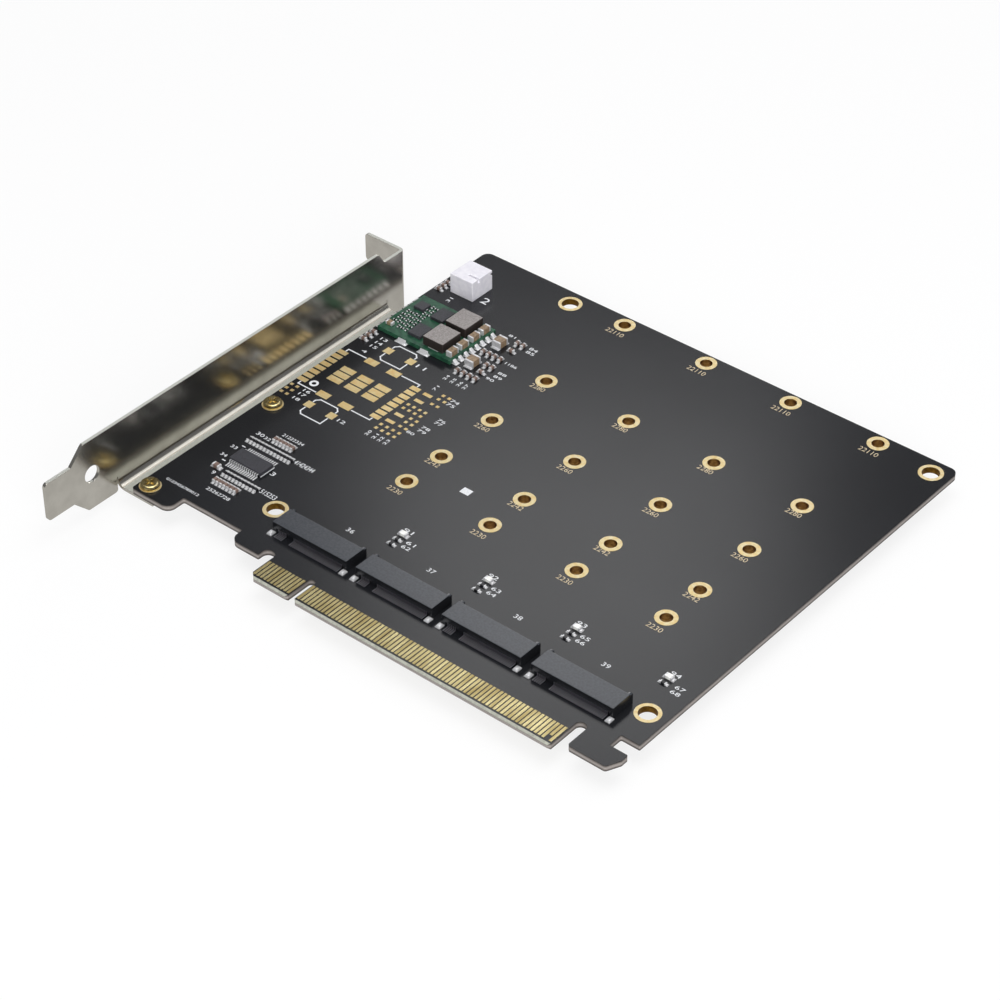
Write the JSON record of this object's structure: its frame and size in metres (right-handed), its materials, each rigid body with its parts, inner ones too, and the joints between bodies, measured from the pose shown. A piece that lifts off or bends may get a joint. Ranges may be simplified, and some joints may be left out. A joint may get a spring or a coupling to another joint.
{
  "type": "nvme adapter card",
  "caption": "Flat adapter card with an edge connector, a row of low module sockets, rows of screw holes, a fan header and a slotted metal bracket.",
  "frame": {"origin": "middle of the key notch of the edge connector, on the connecting edge, at mid thickness of the board", "axes": "+X along the edge connector away from the bracket, +Y from the connecting edge up the card, +Z out of the component side"},
  "size_m": [0.1568, 0.1457, 0.0216],
  "materials": {
    "board_lacquer": "satin solder mask over glass-fibre laminate",
    "module_lacquer": "satin solder mask over glass-fibre laminate",
    "bracket_steel": "nickel plated",
    "screw_steel": "nickel plated",
    "gold_plating": "gold plated",
    "nut_brass": "plain",
    "solder": "bright tin solder",
    "tin_plating": "tin plated",
    "package_black": "moulded epoxy",
    "socket_black": "moulded",
    "inductor_grey": "pressed powder",
    "header_nylon": "moulded",
    "indicator_resin": "clear resin over white",
    "resistor_black": "glazed",
    "capacitor_tan": "fired",
    "print_white": "printed ink"
  },
  "bodies": {
    "root": {"board_print": "print_white", "bracket": "bracket_steel", "bracket_screw_rings": "gold_plating", "bracket_screws": "screw_steel", "bulk_capacitor_pads": "gold_plating", "clock_capacitor_bodies": "capacitor_tan", "clock_capacitor_terminals": "tin_plating", "clock_chip_body": "package_black", "clock_chip_leads": "tin_plating", "clock_resistor_bodies": "resistor_black", "clock_resistor_terminals": "tin_plating", "edge_contacts_component_side": "gold_plating", "edge_contacts_solder_side": "gold_plating", "fan_header_housing": "header_nylon", "fan_header_pins": "tin_plating", "fan_hole_rings": "gold_plating", "fitted_part_pads": "solder", "header_chip_bodies": "capacitor_tan", "header_chip_terminals": "tin_plating", "indicator_light_bodies": "indicator_resin", "indicator_light_terminals": "tin_plating", "indicator_resistor_bodies": "resistor_black", "indicator_resistor_terminals": "tin_plating", "input_chip_bodies": "capacitor_tan", "input_chip_terminals": "tin_plating", "main_board": "board_lacquer", "module_nut_rings": "gold_plating", "module_nuts_22110": "nut_brass", "module_nuts_2230": "nut_brass", "module_nuts_2242": "nut_brass", "module_nuts_2260": "nut_brass", "module_nuts_2280": "nut_brass", "output_capacitor_bodies": "capacitor_tan", "output_capacitor_terminals": "tin_plating", "regulator_board": "module_lacquer", "regulator_capacitor_bodies": "capacitor_tan", "regulator_capacitor_terminals": "tin_plating", "regulator_chip_bodies": "capacitor_tan", "regulator_chip_terminals": "tin_plating", "regulator_controller": "package_black", "regulator_inductor_terminals": "tin_plating", "regulator_inductors": "inductor_grey", "regulator_power_stages": "package_black", "regulator_side_chip_bodies": "capacitor_tan", "regulator_side_chip_terminals": "tin_plating", "regulator_solder_joints": "solder", "socket_1_contacts": "gold_plating", "socket_1_housing": "socket_black", "socket_1_solder_tabs": "tin_plating", "socket_2_contacts": "gold_plating", "socket_2_housing": "socket_black", "socket_2_solder_tabs": "tin_plating", "socket_3_contacts": "gold_plating", "socket_3_housing": "socket_black", "socket_3_solder_tabs": "tin_plating", "socket_4_contacts": "gold_plating", "socket_4_housing": "socket_black", "socket_4_solder_tabs": "tin_plating", "spare_part_pads": "gold_plating", "spare_regulator_pads": "gold_plating"}
  },
  "joints": []
}
